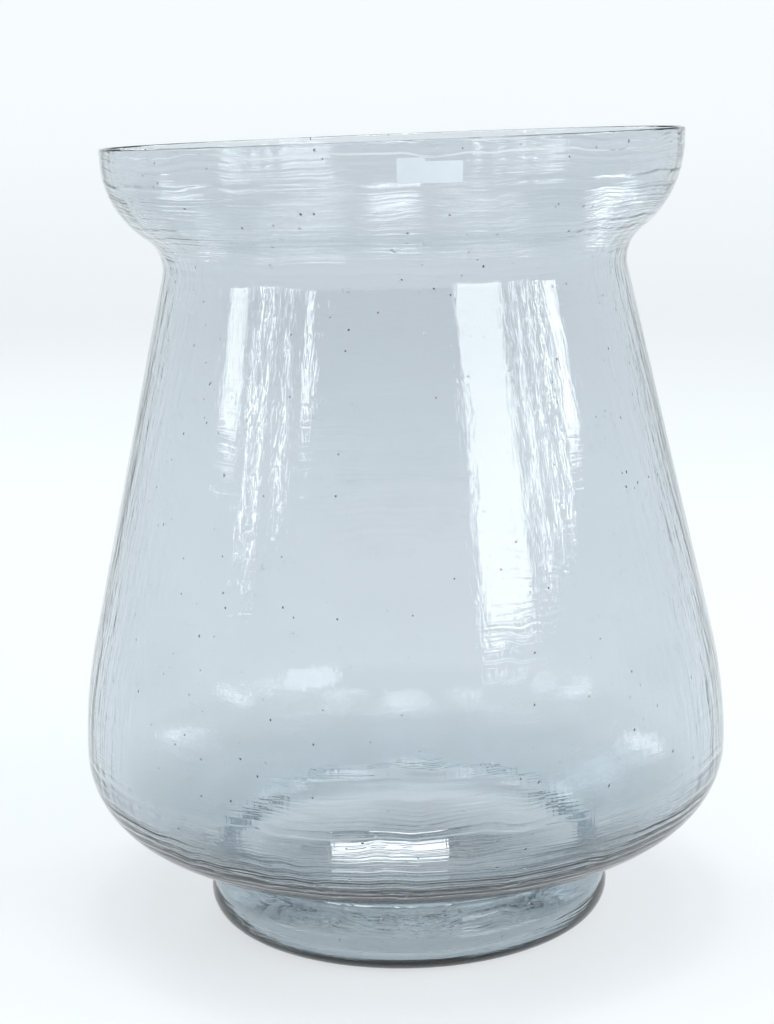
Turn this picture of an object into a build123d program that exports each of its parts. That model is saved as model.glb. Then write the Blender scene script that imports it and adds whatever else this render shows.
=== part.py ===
from build123d import *
import os
from collections import namedtuple
from math import atan2, cos, pi, sin, sqrt

# An open-topped vessel of clear blown glass: a cup-shaped collar and a neck over a
# bell-shaped body with a round belly, standing on a hollow foot that is joined to it
# at a pinched waist.  The glass is turned about +Z.  Paper labels lie on it.
# Origin: the middle of the foot, on the plane that it rests on.  Front: -Y.
# Millimetres.

# Overall
height = 482.0  # rest plane to the top of the rim
rim_radius = 175.0  # outside, at the mouth
belly_radius = 200.5  # outside, at the widest place
belly_height = 111.5  # of the widest place above the rest plane

# Collar and neck
collar_height = 73.0  # narrowest place of the neck to the top of the rim
neck_radius = 140.5  # outside
neck_bend = 22.0  # outer radius of the hollow bend at the neck
lip_height = 6.5  # upright part of the wall, below the mouth

# Bell
body_wall = 3.2  # from above the belly to the rim
shoulder_bend = 310.0  # outer radius of the long curve above the widest place
belly_bend = 53.5  # outer radius of the curve below it
base_wall = 8.0  # under the belly, where the glass gathered

# Waist, where the foot is joined hot to the body
waist_pinch = 7.0  # how far the waist stands in from the foot's side
foot_height = 39.8  # rest plane to the joint
waist_bend = 3.8
waist_wall = 10.0

# Foot
foot_radius = 126.8
foot_corner = 15.0
foot_wall = 6.0
floor_thickness = 8.0
ring_width = 14.0  # of the flat ring that the foot rests on
push_up = 3.0  # hollow of the underside at its middle

# Labels
label_thickness = 0.2
label_corner = 1.2
rim_label_width = 35.0
rim_label_height = 11.4
rim_label_drop = 8.3  # top of the rim to the label's upper edge
label_bearing = 6.4  # degrees round from the front, towards +X
price_label_width = 15.0
price_label_height = 13.4
floor_label_length = 78.0
floor_label_width = 30.0
floor_label_place = (-13.5, 50.0)
floor_label_turn = 6.5

neck_height = height - collar_height
waist_radius = foot_radius - waist_pinch
mouth_radius = rim_radius - body_wall

# A round stretch of an outline that is followed upwards: the centre and the radius of
# its circle, and its turn, 1 where it bends towards the axis and -1 where it bends away.
Bend = namedtuple("Bend", "r z radius turn")

LEVEL = 0.0
UPRIGHT = pi / 2


def point_on(bend, heading):
    """The place on a bend where the outline runs in that direction."""
    reach = bend.turn * bend.radius
    return Vector(bend.r + reach * sin(heading), bend.z - reach * cos(heading))


def heading_between(low, high):
    """The direction of the straight line that touches two bends."""
    dr = high.r - low.r
    dz = high.z - low.z
    side = high.turn * high.radius - low.turn * low.radius
    run = sqrt(dr**2 + dz**2 - side**2)
    return atan2(dz, dr) - atan2(side, run)


def outline(bends, first, last):
    """Bends joined by straight lines that touch them, from one heading to another."""
    edges = []
    arriving = first
    for low, high in zip(bends, bends[1:] + [None]):
        leaving = last if high is None else heading_between(low, high)
        middle = (arriving + leaving) / 2
        edges.append(ThreePointArc(*[point_on(low, a) for a in (arriving, middle, leaving)]))
        if high is not None:
            edges.append(Line(point_on(low, leaving), point_on(high, leaving)))
        arriving = leaving
    return edges


def wall_side(waist, belly, shoulder, neck, collar):
    """One side of the bell's wall, upright at the joint, the widest place and the lip."""
    below = outline([waist, belly], UPRIGHT, UPRIGHT)
    above = outline([shoulder, neck], UPRIGHT, collar_slope)
    return below + above + outline([collar], collar_slope, UPRIGHT)


def turned(edges):
    """The solid that a closed outline, radius and height, makes about +Z."""
    return revolve(Plane.XZ * Face(Wire(edges)), Axis.Z, 360)


# The cup's round side and the neck's hollow bend meet with no straight wall between.
collar_rise = collar_height - lip_height
collar_flare = rim_radius - neck_radius
both_bends = (collar_rise**2 + collar_flare**2) / (2 * collar_flare)
collar_bend = both_bends - neck_bend
collar_slope = atan2(both_bends - collar_flare, collar_rise)

# Inner bends share the outer ones' centres, but the belly's lower one thickens the base.
collar_out = Bend(rim_radius - collar_bend, height - lip_height, collar_bend, 1)
collar_in = Bend(collar_out.r, collar_out.z, collar_bend - body_wall, 1)
neck_out = Bend(neck_radius + neck_bend, neck_height, neck_bend, -1)
neck_in = Bend(neck_out.r, neck_out.z, neck_bend + body_wall, -1)
shoulder_out = Bend(belly_radius - shoulder_bend, belly_height, shoulder_bend, 1)
shoulder_in = Bend(shoulder_out.r, shoulder_out.z, shoulder_bend - body_wall, 1)
belly_out = Bend(belly_radius - belly_bend, belly_height, belly_bend, 1)
belly_in_bend = belly_bend - base_wall
belly_in = Bend(belly_radius - body_wall - belly_in_bend, belly_height, belly_in_bend, 1)
waist_out = Bend(waist_radius + waist_bend, foot_height, waist_bend, -1)
waist_in = Bend(waist_out.r, waist_out.z, waist_bend + waist_wall, -1)
foot_out = Bend(foot_radius - foot_corner, foot_corner, foot_corner, 1)
foot_in_corner = foot_corner - foot_wall
foot_in = Bend(foot_out.r, floor_thickness + foot_in_corner, foot_in_corner, 1)


def bell_body():
    """Collar, neck and bell in one wall, open at the mouth and at the waist."""
    outer = wall_side(waist_out, belly_out, shoulder_out, neck_out, collar_out)
    inner = wall_side(waist_in, belly_in, shoulder_in, neck_in, collar_in)
    rim_round = body_wall / 2
    straight_top = height - rim_round
    rim = [
        Line((rim_radius, collar_out.z), (rim_radius, straight_top)),
        ThreePointArc(
            (rim_radius, straight_top),
            (rim_radius - rim_round, height),
            (mouth_radius, straight_top),
        ),
        Line((mouth_radius, straight_top), (mouth_radius, collar_in.z)),
    ]
    joint = Line((waist_radius - waist_wall, foot_height), (waist_radius, foot_height))
    return turned(outer + rim + inner + [joint])


def foot():
    """Hollow foot with a closed floor.  Its underside rests on a ring round a hollow."""
    outer = outline([foot_out, waist_out], LEVEL, UPRIGHT)
    inner = outline([foot_in, waist_in], LEVEL, UPRIGHT)
    ring_inner = foot_out.r - ring_width
    hollow_bend = (ring_inner**2 + push_up**2) / (2 * push_up)
    halfway = ring_inner / 2
    hollow_rise = push_up - hollow_bend + sqrt(hollow_bend**2 - halfway**2)
    base = [
        ThreePointArc((0, push_up), (halfway, hollow_rise), (ring_inner, 0)),
        Line((ring_inner, 0), (foot_out.r, 0)),
    ]
    joint = Line((waist_radius, foot_height), (waist_radius - waist_wall, foot_height))
    floor = Line((foot_in.r, floor_thickness), (0, floor_thickness))
    middle = Line((0, floor_thickness), (0, push_up))
    return turned(base + outer + [joint] + inner + [floor, middle])


def collar_skin(gap):
    """A skin of one label's thickness round the collar, that far outside the glass."""
    near = Bend(collar_out.r, collar_out.z, collar_bend + gap, 1)
    far = Bend(near.r, near.z, near.radius + label_thickness, 1)
    near_lip = point_on(near, UPRIGHT)
    far_lip = point_on(far, UPRIGHT)
    top = height - body_wall
    closing = [
        Line(near_lip, (near_lip.X, top)),
        Line((near_lip.X, top), (far_lip.X, top)),
        Line((far_lip.X, top), far_lip),
        Line(point_on(near, collar_slope), point_on(far, collar_slope)),
    ]
    sides = outline([near], collar_slope, UPRIGHT) + outline([far], collar_slope, UPRIGHT)
    return turned(sides + closing)


def collar_label(gap, width, tall, across):
    """A label on the outside of the collar, cut from a skin by a rounded punch."""
    middle = rim_label_bottom + tall / 2
    punch = extrude(RectangleRounded(width, tall, label_corner), rim_radius)
    punch = Plane.XZ * Pos(across, middle, rim_radius / 2) * punch
    return Rot(0, 0, label_bearing) * (collar_skin(gap) & punch)


def floor_label():
    """A paper label that lies on the floor of the foot."""
    x, y = floor_label_place
    sheet = RectangleRounded(floor_label_length, floor_label_width, label_corner)
    placed = Pos(x, y, floor_thickness) * Rot(0, 0, floor_label_turn)
    return placed * extrude(sheet, label_thickness)


rim_label_bottom = height - rim_label_drop - rim_label_height
price_label_across = (price_label_width - rim_label_width) / 2

nodes = {
    "bell_body": bell_body(),
    "foot": foot(),
    "rim_label": collar_label(0.0, rim_label_width, rim_label_height, 0.0),
    "price_label": collar_label(
        label_thickness, price_label_width, price_label_height, price_label_across
    ),
    "floor_label": floor_label(),
}

os.makedirs("parts", exist_ok=True)
for name, solid in nodes.items():
    export_step(solid, f"parts/{name}.step")
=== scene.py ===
"""A large vessel of clear blown glass, with its paper labels, in a plain pale studio.

The glass is drawn as a glassblower leaves it: a turned wall with cords, rings and slow
waves in its surface, pinched at the waist over a hollow foot.
"""

import logging
from dataclasses import dataclass, field
from enum import Enum
from math import atan2, cos, hypot, pi, radians, sin, sqrt

import bmesh
import bpy
from mathutils import Matrix, Vector, noise


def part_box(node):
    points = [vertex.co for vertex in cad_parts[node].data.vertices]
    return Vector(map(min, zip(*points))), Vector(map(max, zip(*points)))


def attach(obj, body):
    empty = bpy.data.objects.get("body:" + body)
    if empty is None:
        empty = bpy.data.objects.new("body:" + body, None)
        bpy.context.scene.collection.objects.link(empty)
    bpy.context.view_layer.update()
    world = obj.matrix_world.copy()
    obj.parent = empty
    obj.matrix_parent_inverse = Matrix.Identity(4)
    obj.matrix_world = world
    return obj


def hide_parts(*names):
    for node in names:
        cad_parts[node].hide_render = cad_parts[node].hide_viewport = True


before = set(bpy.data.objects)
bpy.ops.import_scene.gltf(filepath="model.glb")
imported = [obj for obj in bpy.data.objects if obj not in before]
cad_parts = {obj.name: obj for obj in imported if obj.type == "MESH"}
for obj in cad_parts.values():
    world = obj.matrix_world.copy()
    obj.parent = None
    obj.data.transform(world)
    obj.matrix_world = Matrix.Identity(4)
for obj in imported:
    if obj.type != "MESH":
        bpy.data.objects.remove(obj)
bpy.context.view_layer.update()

MM = 0.001
UPRIGHT = pi / 2
LEVEL = 0.0
BODY = "root"
LARGEST_TURN = radians(9)
CREASE = radians(35)
SAME_POINT = 0.001 * MM

log = logging.getLogger("vessel")


def eased(value: float, start: float, end: float) -> float:
    """Return 0 below start, 1 above end and a smooth rise between them."""
    share = min(1.0, max(0.0, (value - start) / (end - start)))
    return share**2 * (3 - 2 * share)


class Side(Enum):
    """The two faces of a blown wall."""

    OUTER = 1
    INNER = -1


# ---------------------------------------------------------------- materials


def linear(hex_colour: str) -> tuple[float, float, float, float]:
    """Turn an sRGB hex colour into a linear one.

    Args:
        hex_colour: six hex digits after a hash sign.

    Returns:
        Red, green, blue and an alpha of 1.
    """
    parts = [int(hex_colour[i : i + 2], 16) / 255 for i in (1, 3, 5)]
    red, green, blue = [c / 12.92 if c <= 0.04045 else ((c + 0.055) / 1.055) ** 2.4 for c in parts]
    return red, green, blue, 1.0


def add_node(
    tree: bpy.types.NodeTree,
    kind: str,
    values: dict | None = None,
    links: dict | None = None,
    **settings: object,
) -> bpy.types.Node:
    """Add a shader node.

    Args:
        tree: the node tree that it joins.
        kind: the node's type.
        values: numbers or colours for its inputs, by name or place.
        links: output sockets that feed its inputs, by name or place.
        settings: the node's own properties.

    Returns:
        The new node.
    """
    node = tree.nodes.new(kind)
    for name, value in settings.items():
        setattr(node, name, value)
    for key, value in (values or {}).items():
        node.inputs[key].default_value = value
    for key, source in (links or {}).items():
        tree.links.new(source, node.inputs[key])
    return node


def new_material(name: str) -> tuple[bpy.types.Material, bpy.types.NodeTree]:
    """Make an empty node material.

    Args:
        name: the material's name.

    Returns:
        The material and its node tree.
    """
    material = bpy.data.materials.new(name)
    material.use_nodes = True
    material.node_tree.nodes.clear()
    return material, material.node_tree


@dataclass(frozen=True)
class BlownGlass:
    """Soda-lime glass, blown, pinched and fire-polished, with a few small seeds.

    The eye sees a cool grey that deepens to teal where the wall is thick, cords that run
    up the bell, rings where the tools held the neck and the foot, and fine specks.
    """

    name: str
    skin: str = "#F0F1F3"
    tint: str = "#8FB6C2"
    tint_per_metre: float = 44.0
    ior: float = 1.52
    polish: float = 0.012
    bell_from: float = 0.14
    bell_to: float = 0.4
    blend: float = 0.05
    cord_spacing_mm: float = 9.0
    cord_relief_mm: float = 0.26
    cord_squeeze: float = 0.09
    cord_off_bell: float = 0.25
    ring_spacing_mm: float = 7.0
    ring_relief_mm: float = 0.3
    ring_wander_mm: float = 9.0
    ring_on_bell: float = 0.3
    ripple_spacing_mm: float = 38.0
    ripple_relief_mm: float = 0.2
    seed_spacing_mm: float = 8.0
    seed_size_mm: float = 1.0
    seed_relief_mm: float = 0.6

    def build(self) -> bpy.types.Material:
        """Return the glass as a material."""
        material, tree = new_material(self.name)
        place = add_node(tree, "ShaderNodeTexCoord").outputs["Object"]
        slow = self.slow_pattern(tree, place)
        relief = self.sum_of(
            tree,
            self.cords(tree, place),
            self.rings(tree, place, slow),
            self.ripples(tree, slow),
            self.seeds(tree, place),
        )
        normal = add_node(
            tree, "ShaderNodeBump", {"Strength": 1.0, "Distance": MM}, {"Height": relief}
        ).outputs[0]
        surface = add_node(
            tree,
            "ShaderNodeBsdfPrincipled",
            {
                "Base Color": linear(self.skin),
                "IOR": self.ior,
                "Transmission Weight": 1.0,
                "Roughness": self.polish,
            },
            {"Normal": normal},
        ).outputs[0]
        inside = add_node(
            tree,
            "ShaderNodeVolumeAbsorption",
            {"Color": linear(self.tint), "Density": self.tint_per_metre},
        ).outputs[0]
        add_node(
            tree, "ShaderNodeOutputMaterial", links={"Surface": surface, "Volume": inside}
        )
        return material

    def sum_of(
        self, tree: bpy.types.NodeTree, *heights: bpy.types.NodeSocket
    ) -> bpy.types.NodeSocket:
        """Add up patterns."""
        total = heights[0]
        for height in heights[1:]:
            total = add_node(tree, "ShaderNodeMath", links={0: total, 1: height}).outputs[0]
        return total

    def bell_share(
        self, tree: bpy.types.NodeTree, place: bpy.types.NodeSocket, low: float, high: float
    ) -> bpy.types.NodeSocket:
        """Return a mask with one value on the bell and another on the foot and collar.

        Args:
            tree: the material's nodes.
            place: the coordinates that the pattern follows.
            low: the value off the bell.
            high: the value on the bell.

        Returns:
            The mask.
        """
        up = add_node(tree, "ShaderNodeSeparateXYZ", links={0: place}).outputs[2]
        middle = (self.bell_from + self.bell_to) / 2
        half = (self.bell_to - self.bell_from) / 2
        offset = add_node(
            tree, "ShaderNodeMath", {1: middle}, {0: up}, operation="SUBTRACT"
        ).outputs[0]
        away = add_node(tree, "ShaderNodeMath", links={0: offset}, operation="ABSOLUTE").outputs[0]
        return add_node(
            tree,
            "ShaderNodeMapRange",
            {"From Min": half, "From Max": half + self.blend, "To Min": high, "To Max": low},
            {"Value": away},
            interpolation_type="SMOOTHSTEP",
        ).outputs[0]

    def cords(
        self, tree: bpy.types.NodeTree, place: bpy.types.NodeSocket
    ) -> bpy.types.NodeSocket:
        """Return the height of the cords that run up the wall."""
        upright = add_node(
            tree,
            "ShaderNodeMapping",
            {"Scale": (1.0, 1.0, self.cord_squeeze)},
            {"Vector": place},
        ).outputs[0]
        noise_height = add_node(
            tree,
            "ShaderNodeTexNoise",
            {"Scale": 1 / (self.cord_spacing_mm * MM), "Detail": 3.0, "Roughness": 0.6},
            {"Vector": upright},
        ).outputs[0]
        share = self.bell_share(
            tree, place, self.cord_off_bell * self.cord_relief_mm, self.cord_relief_mm
        )
        return add_node(
            tree, "ShaderNodeMath", links={0: noise_height, 1: share}, operation="MULTIPLY"
        ).outputs[0]

    def rings(
        self,
        tree: bpy.types.NodeTree,
        place: bpy.types.NodeSocket,
        slow: bpy.types.NodeSocket,
    ) -> bpy.types.NodeSocket:
        """Return the height of the rings that turning against a tool leaves.

        Args:
            tree: the material's nodes.
            place: the coordinates that the pattern follows.
            slow: a slow pattern that makes the rings wander.

        Returns:
            The height, in millimetres.
        """
        up = add_node(tree, "ShaderNodeSeparateXYZ", links={0: place}).outputs[2]
        level = add_node(
            tree, "ShaderNodeMapping", {"Scale": (1.0, 1.0, 0.0)}, {"Vector": place}
        ).outputs[0]
        reach = add_node(
            tree, "ShaderNodeVectorMath", links={0: level}, operation="LENGTH"
        ).outputs["Value"]
        wandering = add_node(
            tree,
            "ShaderNodeMath",
            {1: self.ring_wander_mm * MM},
            {0: slow, 2: up},
            operation="MULTIPLY_ADD",
        ).outputs[0]
        along = add_node(tree, "ShaderNodeMath", links={0: reach, 1: wandering}).outputs[0]
        noise_height = add_node(
            tree,
            "ShaderNodeTexNoise",
            {"Scale": 1 / (self.ring_spacing_mm * MM), "Detail": 3.0, "Roughness": 0.6},
            {"W": along},
            noise_dimensions="1D",
        ).outputs[0]
        share = self.bell_share(
            tree, place, self.ring_relief_mm, self.ring_on_bell * self.ring_relief_mm
        )
        return add_node(
            tree, "ShaderNodeMath", links={0: noise_height, 1: share}, operation="MULTIPLY"
        ).outputs[0]

    def slow_pattern(
        self, tree: bpy.types.NodeTree, place: bpy.types.NodeSocket
    ) -> bpy.types.NodeSocket:
        """Return the slow pattern that the ripples and the rings' wandering share."""
        return add_node(
            tree,
            "ShaderNodeTexNoise",
            {"Scale": 1 / (self.ripple_spacing_mm * MM), "Detail": 1.0, "Distortion": 0.6},
            {"Vector": place},
        ).outputs[0]

    def ripples(
        self, tree: bpy.types.NodeTree, slow: bpy.types.NodeSocket
    ) -> bpy.types.NodeSocket:
        """Return the height of the slow ripples all over."""
        return add_node(
            tree, "ShaderNodeMath", {1: self.ripple_relief_mm}, {0: slow}, operation="MULTIPLY"
        ).outputs[0]

    def seeds(
        self, tree: bpy.types.NodeTree, place: bpy.types.NodeSocket
    ) -> bpy.types.NodeSocket:
        """Return the height of the small round seeds scattered in the wall."""
        cells = add_node(
            tree,
            "ShaderNodeTexVoronoi",
            {"Scale": 1 / (self.seed_spacing_mm * MM)},
            {"Vector": place},
        )
        chance = add_node(
            tree, "ShaderNodeSeparateColor", links={"Color": cells.outputs["Color"]}
        ).outputs[0]
        reach = add_node(
            tree,
            "ShaderNodeMath",
            {1: self.seed_size_mm / self.seed_spacing_mm},
            {0: chance},
            operation="MULTIPLY",
        ).outputs[0]
        return add_node(
            tree,
            "ShaderNodeMapRange",
            {"From Min": 0.0, "To Min": self.seed_relief_mm, "To Max": 0.0},
            {"Value": cells.outputs["Distance"], "From Max": reach},
            interpolation_type="SMOOTHSTEP",
        ).outputs[0]


@dataclass(frozen=True)
class LabelStock:
    """Self-adhesive label stock: a thin sheet, coated on its face.

    The eye sees a soft satin sheet, paler than the glass, with the tooth of its fibres
    and a little of the wall showing through where the stock is a film.  A painted glow,
    an emission in the sheet's own colour, lightens it where it lies in shade.
    """

    name: str
    colour: str
    shade: str
    roughness: float
    clearness: float = 0.0
    painted_glow: float = 0.0
    fibre_mm: float = 1.1
    cloud_mm: float = 9.9
    fibre_relief_mm: float = 0.03

    def build(self) -> bpy.types.Material:
        """Return the stock as a material."""
        material, tree = new_material(self.name)
        place = add_node(tree, "ShaderNodeTexCoord").outputs["Object"]
        fibres = add_node(
            tree,
            "ShaderNodeTexNoise",
            {"Scale": 1 / (self.fibre_mm * MM), "Detail": 4.0, "Roughness": 0.6},
            {"Vector": place},
        ).outputs[0]
        cloud = add_node(
            tree,
            "ShaderNodeTexNoise",
            {"Scale": 1 / (self.cloud_mm * MM), "Detail": 2.0},
            {"Vector": place},
        ).outputs[0]
        colour = add_node(
            tree,
            "ShaderNodeMix",
            {6: linear(self.colour), 7: linear(self.shade)},
            {0: cloud},
            data_type="RGBA",
        ).outputs[2]
        bump = add_node(
            tree,
            "ShaderNodeBump",
            {"Strength": 1.0, "Distance": self.fibre_relief_mm * MM},
            {"Height": fibres},
        ).outputs[0]
        surface = add_node(
            tree,
            "ShaderNodeBsdfPrincipled",
            {
                "Roughness": self.roughness,
                "IOR": 1.5,
                "Transmission Weight": self.clearness,
                # painted glow: emission in the label's own colour that lightens it where it lies
                # in shade
                "Emission Color": linear(self.colour),
                "Emission Strength": self.painted_glow,
            },
            {"Base Color": colour, "Normal": bump},
        ).outputs[0]
        add_node(tree, "ShaderNodeOutputMaterial", links={"Surface": surface})
        return material


@dataclass(frozen=True)
class StudioPaper:
    """Seamless paper, lit from behind: flat, pale, matte and without folds.

    The eye sees one even pale ground that falls into shade high up the wall.
    """

    name: str = "studio_seamless_paper"
    colour: str = "#A9ADB0"
    light: str = "#F3F4F4"
    shade: str = "#7F8C93"
    glow: float = 0.62
    wall_glow: float = 1.07
    wall_from: float = 0.4
    fade_from: float = 1.2
    fade_to: float = 1.65

    def build(self) -> bpy.types.Material:
        """Return the paper as a material."""
        material, tree = new_material(self.name)
        place = add_node(tree, "ShaderNodeTexCoord").outputs["Object"]
        up = add_node(tree, "ShaderNodeSeparateXYZ", links={0: place}).outputs[2]
        fade = add_node(
            tree,
            "ShaderNodeMapRange",
            {"From Min": self.fade_from, "From Max": self.fade_to},
            {"Value": up},
            interpolation_type="SMOOTHSTEP",
        ).outputs[0]
        colour = add_node(
            tree,
            "ShaderNodeMix",
            {6: linear(self.colour), 7: linear(self.shade)},
            {0: fade},
            data_type="RGBA",
        ).outputs[2]
        rise = add_node(
            tree,
            "ShaderNodeMapRange",
            {
                "From Max": self.wall_from,
                "To Min": self.glow,
                "To Max": self.glow * self.wall_glow,
            },
            {"Value": up},
        ).outputs[0]
        glow = add_node(
            tree, "ShaderNodeMapRange", {"To Max": 0.0}, {"Value": fade, "To Min": rise}
        ).outputs[0]
        surface = add_node(
            tree,
            "ShaderNodeBsdfPrincipled",
            {
                "Roughness": 0.9,
                "Specular IOR Level": 0.1,
                "Emission Color": linear(self.light),
            },
            {"Base Color": colour, "Emission Strength": glow},
        ).outputs[0]
        add_node(tree, "ShaderNodeOutputMaterial", links={"Surface": surface})
        return material


# ---------------------------------------------------------------- outlines


@dataclass(frozen=True)
class Bend:
    """A round stretch of a wall's outline, which is followed upwards.

    turn is 1 where the outline bends towards the axis and -1 where it bends away.
    """

    r: float
    z: float
    radius: float
    turn: int

    def at(self, heading: float) -> Vector:
        """Return the place, radius and height, where the outline runs that way."""
        reach = self.turn * self.radius
        return Vector((self.r + reach * sin(heading), self.z - reach * cos(heading)))

    def heading_to(self, other: "Bend") -> float:
        """Return the direction of the straight line from this bend to the next."""
        dr = other.r - self.r
        dz = other.z - self.z
        side = other.turn * other.radius - self.turn * self.radius
        run = sqrt(dr**2 + dz**2 - side**2)
        return atan2(dz, dr) - atan2(side, run)

    def arc(self, first: float, last: float, spacing: float) -> list[Vector]:
        """Walk along the bend.

        Args:
            first: the heading where it starts.
            last: the heading where it ends.
            spacing: the longest step, in metres.

        Returns:
            Points from one end to the other, both included.
        """
        turned = abs(last - first)
        steps = max(2, round(turned * self.radius / spacing), round(turned / LARGEST_TURN))
        return [self.at(first + (last - first) * i / steps) for i in range(steps + 1)]


def run_between(start: Vector, end: Vector, spacing: float) -> list[Vector]:
    """Return the points strictly between two ends of a straight run."""
    steps = max(1, round((end - start).length / spacing))
    return [start.lerp(end, i / steps) for i in range(1, steps)]


def follow(bends: list[Bend], first: float, last: float, spacing: float) -> list[Vector]:
    """Follow bends joined by the straight lines that touch them.

    Args:
        bends: the round stretches, from the lowest up.
        first: the heading at the start.
        last: the heading at the end.
        spacing: the longest step, in metres.

    Returns:
        The outline's points.
    """
    points: list[Vector] = []
    arriving = first
    for low, high in zip(bends, bends[1:] + [None]):
        leaving = last if high is None else low.heading_to(high)
        points += low.arc(arriving, leaving, spacing)
        if high is not None:
            points += run_between(low.at(leaving), high.at(leaving), spacing)
        arriving = leaving
    return points


@dataclass
class VesselSizes:
    """The vessel's sizes in metres: the overall ones from the frame, the rest by name."""

    collar_height: float = 73.0 * MM
    neck_radius: float = 140.5 * MM
    neck_bend: float = 22.0 * MM
    lip_height: float = 6.5 * MM
    body_wall: float = 3.2 * MM
    belly_height: float = 111.5 * MM
    rim_radius: float = 175.0 * MM
    shoulder_bend: float = 310.0 * MM
    belly_bend: float = 53.5 * MM
    base_wall: float = 8.0 * MM
    waist_pinch: float = 7.0 * MM
    waist_bend: float = 3.8 * MM
    waist_wall: float = 10.0 * MM
    foot_corner: float = 15.0 * MM
    foot_wall: float = 6.0 * MM
    floor_thickness: float = 8.0 * MM
    ring_width: float = 14.0 * MM
    push_up: float = 3.0 * MM
    slant: float = radians(1.0)
    slant_bearing: float = radians(64)
    slant_lift: float = 1.3 * MM
    height: float = field(init=False)
    belly_radius: float = field(init=False)
    foot_radius: float = field(init=False)
    foot_height: float = field(init=False)

    def __post_init__(self) -> None:
        """Take the overall sizes from the frame."""
        body_low, body_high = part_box("bell_body")
        foot_low, foot_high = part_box("foot")
        self.height = body_high.z
        self.belly_radius = (body_high.y - body_low.y) / 2
        self.foot_radius = (foot_high.y - foot_low.y) / 2
        self.foot_height = foot_high.z

    def out_of_true(self, place: Vector) -> float:
        """Return how far the cut rim's slant lifts the collar at a place."""
        high_side = Vector((sin(self.slant_bearing), -cos(self.slant_bearing), 0.0))
        lift = self.slant_lift + self.slant * place.dot(high_side)
        return lift * eased(place.z, self.height - self.collar_height, self.height)

    def collar_curve(self) -> tuple[float, float]:
        """Return the radius of the collar's round side and its slope at the neck's bend."""
        rise = self.collar_height - self.lip_height
        flare = self.rim_radius - self.neck_radius
        both = (rise**2 + flare**2) / (2 * flare)
        return both - self.neck_bend, atan2(both - flare, rise)

    def collar(self, inset: float) -> Bend:
        """Return the collar's round side, that far inside the outer face."""
        radius, _ = self.collar_curve()
        return Bend(self.rim_radius - radius, self.height - self.lip_height, radius - inset, 1)

    def neck(self, inset: float) -> Bend:
        """Return the neck's hollow bend, that far inside the outer face."""
        centre = self.neck_radius + self.neck_bend
        return Bend(centre, self.height - self.collar_height, self.neck_bend + inset, -1)

    def shoulder(self, inset: float) -> Bend:
        """Return the long curve above the widest place."""
        centre = self.belly_radius - self.shoulder_bend
        return Bend(centre, self.belly_height, self.shoulder_bend - inset, 1)

    def belly(self, inset: float, base_inset: float) -> Bend:
        """Return the curve below the widest place, which thickens towards the base."""
        radius = self.belly_bend - base_inset
        return Bend(self.belly_radius - inset - radius, self.belly_height, radius, 1)

    def waist(self, inset: float) -> Bend:
        """Return the pinched waist."""
        centre = self.foot_radius - self.waist_pinch + self.waist_bend
        return Bend(centre, self.foot_height, self.waist_bend + inset, -1)

    def foot_edge(self, inset: float, lift: float) -> Bend:
        """Return the round corner between the foot's side and its base or floor."""
        radius = self.foot_corner - inset
        return Bend(self.foot_radius - self.foot_corner, lift + radius, radius, 1)


# ---------------------------------------------------------------- meshes


def finish_mesh(
    shape: bmesh.types.BMesh, name: str, finish: bpy.types.Material
) -> bpy.types.Object:
    """Turn a finished bmesh into a smooth-shaded object in the scene.

    Args:
        shape: the mesh, which is freed.
        name: the object's name.
        finish: its material.

    Returns:
        The object, at the origin.
    """
    mesh = bpy.data.meshes.new(name)
    for face in shape.faces:
        face.smooth = True
    for edge in shape.edges:
        edge.smooth = edge.is_manifold and edge.calc_face_angle(0.0) < CREASE
    shape.to_mesh(mesh)
    shape.free()
    piece = bpy.data.objects.new(name, mesh)
    piece.data.materials.append(finish)
    bpy.context.scene.collection.objects.link(piece)
    return piece


# ---------------------------------------------------------------- glass


@dataclass
class BellBody:
    """Collar, neck, bell and belly in one wall, open at the mouth and at the waist."""

    sizes: VesselSizes
    spacing: float
    rim_spacing: float = 0.4 * MM

    def face(self, side: Side) -> list[Vector]:
        """Return one face of the wall, from the waist up to the lip."""
        s = self.sizes
        inner = side is Side.INNER
        wall = s.body_wall if inner else 0.0
        waist = s.waist(s.waist_wall if inner else 0.0)
        belly = s.belly(wall, s.base_wall if inner else 0.0)
        _, slope = s.collar_curve()
        below = follow([waist, belly], UPRIGHT, UPRIGHT, self.spacing)
        above = follow([s.shoulder(wall), s.neck(wall)], UPRIGHT, slope, self.spacing)
        lip = follow([s.collar(wall)], slope, UPRIGHT, self.spacing)
        return below + above[1:] + lip[1:]

    def outline(self) -> list[Vector]:
        """Return the wall from the waist up its outside, over the rim and down its inside."""
        s = self.sizes
        round_rim = s.body_wall / 2
        rim = Bend(s.rim_radius - round_rim, s.height - round_rim, round_rim, 1)
        outer = self.face(Side.OUTER)
        inner = self.face(Side.INNER)
        lip_up = run_between(outer[-1], rim.at(UPRIGHT), self.spacing)
        lip_down = run_between(rim.at(UPRIGHT + pi), inner[-1], self.spacing)
        over = rim.arc(UPRIGHT, UPRIGHT + pi, self.rim_spacing)
        return outer + lip_up + over + lip_down + inner[::-1]


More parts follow.
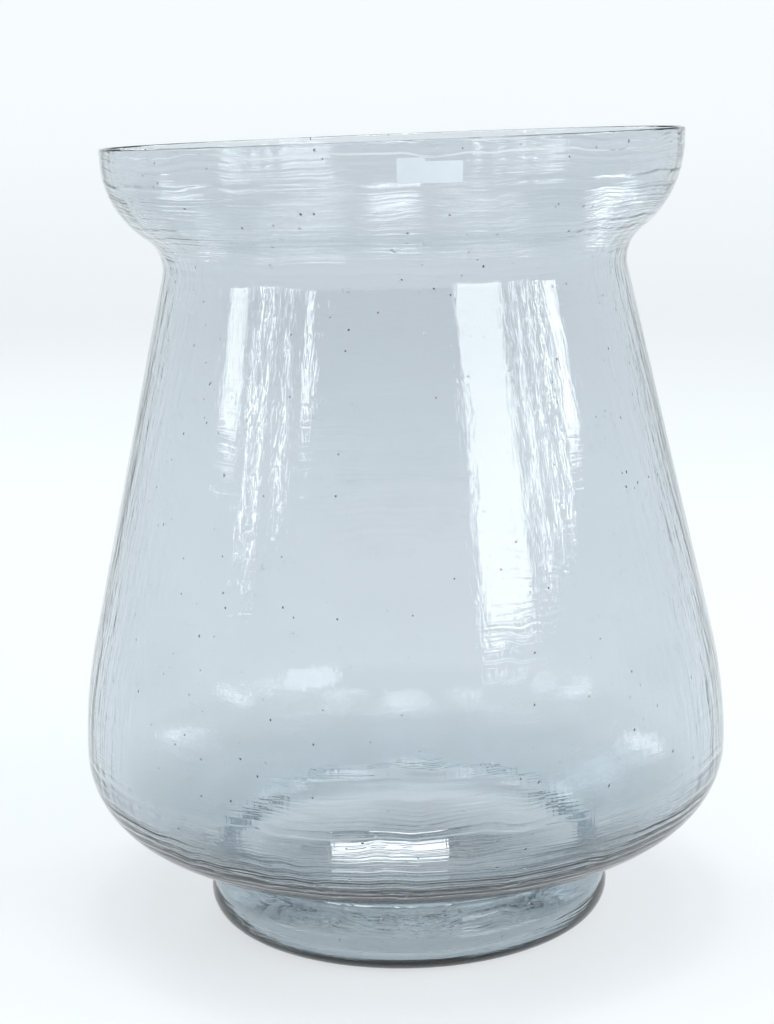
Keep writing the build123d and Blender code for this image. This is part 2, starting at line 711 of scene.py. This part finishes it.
@dataclass
class Foot:
    """Hollow foot with a closed floor, resting on a ring round a shallow hollow."""

    sizes: VesselSizes
    spacing: float

    def outside(self) -> list[Vector]:
        """Return the foot from the middle of its underside up to the waist."""
        s = self.sizes
        edge = s.foot_edge(0.0, 0.0)
        side = follow([edge, s.waist(0.0)], LEVEL, UPRIGHT, self.spacing)
        ring_inner = edge.r - s.ring_width
        hollow = (ring_inner**2 + s.push_up**2) / (2 * s.push_up)
        half_angle = atan2(ring_inner, hollow - s.push_up)
        dome = Bend(0.0, s.push_up - hollow, hollow, -1)
        underside = dome.arc(0.0, -half_angle, 2 * self.spacing)
        return underside + run_between(Vector((ring_inner, 0.0)), side[0], self.spacing) + side

    def inside(self) -> list[Vector]:
        """Return the foot from the waist down to the middle of its floor."""
        s = self.sizes
        edge = s.foot_edge(s.foot_wall, s.floor_thickness)
        side = follow([edge, s.waist(s.waist_wall)], LEVEL, UPRIGHT, self.spacing)
        centre = Vector((0.0, s.floor_thickness))
        return side[::-1] + run_between(side[0], centre, 2 * self.spacing) + [centre]


@dataclass(frozen=True)
class Wave:
    """One family of waves in the wall: how close round it, how long up it, how deep."""

    around: float
    length: float
    relief: float
    offset: float

    def height(self, ring: Vector, up: float, side: Side) -> float:
        """Return the wave's height, from -1 to 1.

        Args:
            ring: the direction from the axis.
            up: the height above the rest plane.
            side: which face of the wall it is on.

        Returns:
            The height, before the relief is applied.
        """
        climb = up / self.length + self.offset * side.value
        return noise.noise(ring * self.around + Vector((0, 0, climb)))


@dataclass
class Vessel:
    """The bell and its foot, which were joined hot: one closed shell of glass."""

    sizes: VesselSizes
    finish: bpy.types.Material
    steps: int = 224
    spacing: float = 5.5 * MM
    slow: Wave = Wave(around=1.7, length=95 * MM, relief=0.3 * MM, offset=7.3)
    cord: Wave = Wave(around=7.5, length=230 * MM, relief=0.16 * MM, offset=3.1)
    fine: Wave = Wave(around=17.0, length=300 * MM, relief=0.05 * MM, offset=5.7)
    cords_from: float = 100 * MM
    cords_full: float = 180 * MM
    neck_from: float = 380 * MM
    neck_full: float = 420 * MM
    neck_calm: float = 0.6

    def build(self) -> bpy.types.Object:
        """Turn the outline about the axis, give it its waves and put it in the frame."""
        foot = Foot(self.sizes, self.spacing)
        bell = BellBody(self.sizes, self.spacing)
        points = foot.outside() + bell.outline()[1:-1] + foot.inside()
        shell = bmesh.new()
        corners = [shell.verts.new((p.x, 0.0, p.y)) for p in points]
        edges = [shell.edges.new(pair) for pair in zip(corners, corners[1:])]
        bmesh.ops.spin(
            shell,
            geom=corners + edges,
            cent=(0, 0, 0),
            axis=(0, 0, 1),
            angle=2 * pi,
            steps=self.steps,
            use_merge=True,
            use_duplicate=False,
        )
        bmesh.ops.remove_doubles(shell, verts=shell.verts, dist=SAME_POINT)
        bmesh.ops.recalc_face_normals(shell, faces=shell.faces)
        self.work_surface(shell)
        piece = finish_mesh(shell, "vessel_glass", self.finish)
        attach(piece, BODY)
        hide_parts("bell_body", "foot")
        return piece

    def work_surface(self, shell: bmesh.types.BMesh) -> None:
        """Move the wall's faces in and out, each on its own, as hand work leaves them."""
        shell.normal_update()
        moves = {}
        for corner in shell.verts:
            across = Vector((corner.co.x, corner.co.y, 0.0))
            if across.length < 1 * MM:
                continue
            side = Side.OUTER if corner.normal.dot(across) > 0 else Side.INNER
            moves[corner] = corner.normal * self.unevenness(corner.co, side)
        for corner, move in moves.items():
            corner.co += move
            corner.co.z = max(corner.co.z, 0.0)
            corner.co.z += self.sizes.out_of_true(corner.co)

    def unevenness(self, place: Vector, side: Side) -> float:
        """Return how far the wall's face stands in, in metres.

        Args:
            place: a point on the wall.
            side: which face of the wall it is on.

        Returns:
            A distance that is never outwards, so that the piece keeps to its size.
        """
        bearing = atan2(place.y, place.x)
        ring = Vector((cos(bearing), sin(bearing), 0.0))
        on_bell = eased(place.z, self.cords_from, self.cords_full)
        calm = on_bell * (1 - self.neck_calm * eased(place.z, self.neck_from, self.neck_full))
        shares = ((self.slow, 1.0), (self.cord, calm), (self.fine, calm))
        return sum(
            wave.relief * share * (wave.height(ring, place.z, side) - 1) / 2
            for wave, share in shares
        )


# ---------------------------------------------------------------- labels


@dataclass
class Label:
    """A flat label with rounded corners, cut, then laid on the glass and bent to it."""

    node: str
    slot: str
    finish: bpy.types.Material
    width: float
    tall: float
    thickness: float = 0.2 * MM
    corner: float = 1.2 * MM
    grid: float = 1.6 * MM

    def flat_sheet(self) -> bmesh.types.BMesh:
        """Return the cut label in the XY plane, in squares small enough to bend."""
        sheet = bmesh.new()
        bmesh.ops.create_grid(sheet, x_segments=1, y_segments=1, size=0.5)
        bmesh.ops.scale(sheet, vec=(self.width, self.tall, 1.0), verts=sheet.verts)
        bmesh.ops.bevel(
            sheet,
            geom=sheet.verts[:],
            offset=self.corner,
            affect="VERTICES",
            segments=4,
            profile=0.5,
            material=-1,
        )
        for axis, span in ((Vector((1, 0, 0)), self.width), (Vector((0, 1, 0)), self.tall)):
            cuts = round(span / self.grid)
            for i in range(1, cuts):
                bmesh.ops.bisect_plane(
                    sheet,
                    geom=sheet.verts[:] + sheet.edges[:] + sheet.faces[:],
                    plane_co=axis * span * (i / cuts - 0.5),
                    plane_no=axis,
                )
        return sheet

    def thicken(self, sheet: bmesh.types.BMesh) -> None:
        """Give the sheet its thickness, away from the glass."""
        grown = bmesh.ops.extrude_face_region(sheet, geom=sheet.faces[:])
        raised = [g for g in grown["geom"] if isinstance(g, bmesh.types.BMVert)]
        bmesh.ops.translate(sheet, vec=(0.0, 0.0, self.thickness), verts=raised)
        bmesh.ops.recalc_face_normals(sheet, faces=sheet.faces)

    def lay(self, place: Vector) -> Vector:
        """Return where a point of the flat label goes on the glass."""
        raise NotImplementedError

    def build(self) -> bpy.types.Object:
        """Cut, thicken and lay the label, and put it in the frame."""
        sheet = self.flat_sheet()
        self.thicken(sheet)
        for point in sheet.verts:
            point.co = self.lay(point.co)
        piece = finish_mesh(sheet, self.node + "_sheet", self.finish)
        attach(piece, BODY)
        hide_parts(self.node)
        return piece


@dataclass
class CollarLabel(Label):
    """A label stuck round the outside of the collar."""

    sizes: VesselSizes = field(default_factory=VesselSizes)
    bearing: float = radians(6.4)
    across: float = 0.0
    bottom: float = 0.0
    lift: float = 0.06 * MM

    def lay(self, place: Vector) -> Vector:
        """Wrap a point of the flat label round the collar."""
        collar = self.sizes.collar(0.0)
        height = self.bottom + self.tall / 2 + place.y
        turn = self.bearing + (self.across + place.x) / self.sizes.rim_radius
        facing = Vector((sin(turn), -cos(turn), 0.0))
        lift = self.sizes.out_of_true(facing * self.sizes.rim_radius + Vector((0, 0, height)))
        drop = max(0.0, collar.z - height + lift)
        radius = collar.r + sqrt(collar.radius**2 - drop**2) + self.lift + place.z
        return facing * radius + Vector((0.0, 0.0, height))


@dataclass
class FloorLabel(Label):
    """A label lying on the floor of the foot, its ends lifted a little."""

    middle: Vector = field(default_factory=lambda: Vector((-13.5 * MM, 50.0 * MM)))
    turn: float = radians(6.5)
    rest: float = 0.0
    lift: float = 0.05 * MM
    curl: float = 1.1 * MM

    def lay(self, place: Vector) -> Vector:
        """Lay a point of the flat label on the floor, with the sheet's own curl."""
        along = place.x / (self.width / 2)
        raised = self.curl * along**4 + self.lift + place.z
        spun = Matrix.Rotation(self.turn, 2) @ Vector((place.x, place.y))
        return Vector((self.middle.x + spun.x, self.middle.y + spun.y, self.rest + raised))


# ---------------------------------------------------------------- studio


@dataclass(frozen=True)
class SoftBox:
    """A rectangular studio light that looks at the vessel."""

    name: str
    bearing: float
    elevation: float
    distance: float
    width: float
    tall: float
    power: float
    colour: str = "#FFFFFF"

    def build(self, target: Vector) -> bpy.types.Object:
        """Hang the light.

        Args:
            target: the place that it looks at.

        Returns:
            The light's object.
        """
        lamp = bpy.data.lights.new(self.name, "AREA")
        lamp.shape = "RECTANGLE"
        lamp.size = self.width
        lamp.size_y = self.tall
        lamp.energy = self.power
        lamp.color = linear(self.colour)[:3]
        level = cos(self.elevation)
        away = Vector((sin(self.bearing) * level, -cos(self.bearing) * level, sin(self.elevation)))
        light = bpy.data.objects.new(self.name, lamp)
        light.location = target + away * self.distance
        light.rotation_mode = "QUATERNION"
        light.rotation_quaternion = (-away).to_track_quat("-Z", "Y")
        bpy.context.scene.collection.objects.link(light)
        return light


@dataclass
class Studio:
    """A round cove of pale paper, soft boxes and the dim room above them."""

    radius: float = 3.6
    paper_spacing: float = 0.12
    light_distance: float = 3.5
    wall: float = 1.7
    cove: float = 0.7
    steps: int = 96
    room_colour: str = "#84979F"
    room_strength: float = 1.0
    roof_height: float = 3.2
    pane: float = 0.62
    pane_pitch: float = 1.0
    pane_power: float = 4.5
    middle_power: float = 16.0
    target: Vector = field(default_factory=lambda: Vector((0.0, 0.0, 0.24)))

    def build(self) -> None:
        """Make the floor, the light and the room's dim air."""
        self.floor()
        self.room()
        for box in self.boxes():
            box.build(self.target)

    def floor(self) -> bpy.types.Object:
        """Return the seamless floor that turns up into a wall all round."""
        bend = Bend(self.radius, self.cove, self.cove, 1)
        rise = bend.arc(LEVEL, UPRIGHT, self.paper_spacing)
        points = [Vector((0.0, 0.0)), *rise, Vector((self.radius + self.cove, self.wall))]
        paper = bmesh.new()
        corners = [paper.verts.new((p.x, 0.0, p.y)) for p in points]
        edges = [paper.edges.new(pair) for pair in zip(corners, corners[1:])]
        bmesh.ops.spin(
            paper,
            geom=corners + edges,
            cent=(0, 0, 0),
            axis=(0, 0, 1),
            angle=2 * pi,
            steps=self.steps,
            use_merge=True,
            use_duplicate=False,
        )
        bmesh.ops.remove_doubles(paper, verts=paper.verts, dist=1 * MM)
        sweep = finish_mesh(paper, "studio_sweep", StudioPaper().build())
        return sweep

    def room(self) -> None:
        """Fill what the paper leaves open with dim, even light."""
        world = bpy.data.worlds.new("dim_room")
        world.use_nodes = True
        world.node_tree.nodes.clear()
        air = add_node(
            world.node_tree,
            "ShaderNodeBackground",
            {"Color": linear(self.room_colour), "Strength": self.room_strength},
        ).outputs[0]
        add_node(world.node_tree, "ShaderNodeOutputWorld", links={"Surface": air})
        bpy.context.scene.world = world

    def boxes(self) -> list[SoftBox]:
        """Return the studio's soft boxes: a roof of panes, and windows round the sides."""
        side = radians(24)
        away = self.light_distance
        return [
            SoftBox("window", radians(40), side, away, 1.35, 1.9, 36.0),
            SoftBox("window_slot_1", radians(57), side, away, 0.16, 1.9, 5.0),
            SoftBox("window_slot_2", radians(64), side, away, 0.1, 1.9, 4.0),
            SoftBox("window_slot_3", radians(70), side, away, 0.05, 1.9, 4.0),
            SoftBox("window_far", radians(78), side, away, 0.4, 1.7, 12.0),
            SoftBox("left_slot_1", radians(-40), side, away, 0.14, 1.0, 3.0),
            SoftBox("left_slot_2", radians(-50), side, away, 0.1, 1.5, 3.0),
            SoftBox("left_slot_3", radians(-60), side, away, 0.07, 1.9, 4.0),
            SoftBox("left_slot_4", radians(-66), side, away, 0.05, 1.9, 4.0),
            SoftBox("left_window", radians(-78), side, away, 0.6, 1.6, 12.0),
            SoftBox("back_left", radians(-150), radians(32), 3.2, 1.0, 0.8, 14.0),
            SoftBox("back_right", radians(128), radians(36), 3.2, 0.4, 1.2, 9.0),
            *self.roof(),
        ]

    def roof(self) -> list[SoftBox]:
        """Return the panes overhead, in rows with glazing bars between them."""
        reach = range(-1, 2)
        panes = [(i * self.pane_pitch, j * self.pane_pitch) for i in reach for j in reach]
        return [
            SoftBox(
                f"roof_pane_{number}",
                atan2(x, -y),
                atan2(self.roof_height, hypot(x, y)),
                sqrt(x**2 + y**2 + self.roof_height**2),
                self.pane,
                self.pane,
                self.pane_power if x or y else self.middle_power,
            )
            for number, (x, y) in enumerate(panes)
        ]


@dataclass(frozen=True)
class Viewpoint:
    """Where the camera stands: in front of the vessel, just above its rim."""

    distance: float = 1.247
    height: float = 0.5073
    pitch: float = radians(11.525)
    roll: float = radians(-1.341)
    lens: float = 71.79
    shift_x: float = -0.0133

    def build(self) -> bpy.types.Object:
        """Return the scene's camera."""
        camera = bpy.data.objects.new("viewpoint", bpy.data.cameras.new("viewpoint"))
        camera.data.lens = self.lens
        camera.data.sensor_width = 36.0
        camera.data.shift_x = self.shift_x
        camera.data.clip_start = 0.05
        camera.data.clip_end = 40.0
        level = Matrix.Rotation(UPRIGHT - self.pitch, 4, "X")
        tilt = Matrix.Rotation(self.roll, 4, "Z")
        camera.matrix_world = Matrix.Translation((0.0, -self.distance, self.height)) @ level @ tilt
        bpy.context.scene.collection.objects.link(camera)
        bpy.context.scene.camera = camera
        return camera


# ---------------------------------------------------------------- the whole


def build_labels(sizes: VesselSizes) -> list[Label]:
    """Return the vessel's labels, ready to be laid."""
    film = LabelStock(
        "film_label_satin", colour="#DFE6EC", shade="#D2DAE1", roughness=0.5, clearness=0.08
    ).build()
    paper = LabelStock(
        # the floor label gets a painted glow that lightens it in the shade inside the foot
        "paper_label_coated", colour="#FBFBFC", shade="#F0F2F4", roughness=0.6, painted_glow=0.8
    ).build()
    rim_width = 35.0 * MM
    price_width = 15.0 * MM
    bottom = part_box("rim_label")[0].z
    rim_label = CollarLabel(
        "rim_label",
        "film_label",
        film,
        width=rim_width,
        tall=11.4 * MM,
        sizes=sizes,
        bottom=bottom,
    )
    price_label = CollarLabel(
        "price_label",
        "film_label",
        film,
        width=price_width,
        tall=13.4 * MM,
        sizes=sizes,
        bottom=bottom,
        across=(price_width - rim_width) / 2,
        lift=0.3 * MM,
    )
    floor_label = FloorLabel(
        "floor_label",
        "paper_label",
        paper,
        width=78.0 * MM,
        tall=30.0 * MM,
        rest=sizes.floor_thickness,
    )
    return [rim_label, price_label, floor_label]


def main() -> None:
    """Build the camera, the glass, the labels and the studio, in that order."""
    logging.basicConfig(level=logging.INFO, format="%(name)s: %(message)s")
    bpy.context.scene.view_settings.view_transform = "Standard"
    Viewpoint().build()
    sizes = VesselSizes()
    glass = BlownGlass("blown_soda_glass").build()
    for part in (Vessel(sizes, glass), *build_labels(sizes)):
        piece = part.build()
        log.info("%s: %d faces", piece.name, len(piece.data.polygons))
    Studio().build()


if __name__ == "__main__":
    main()
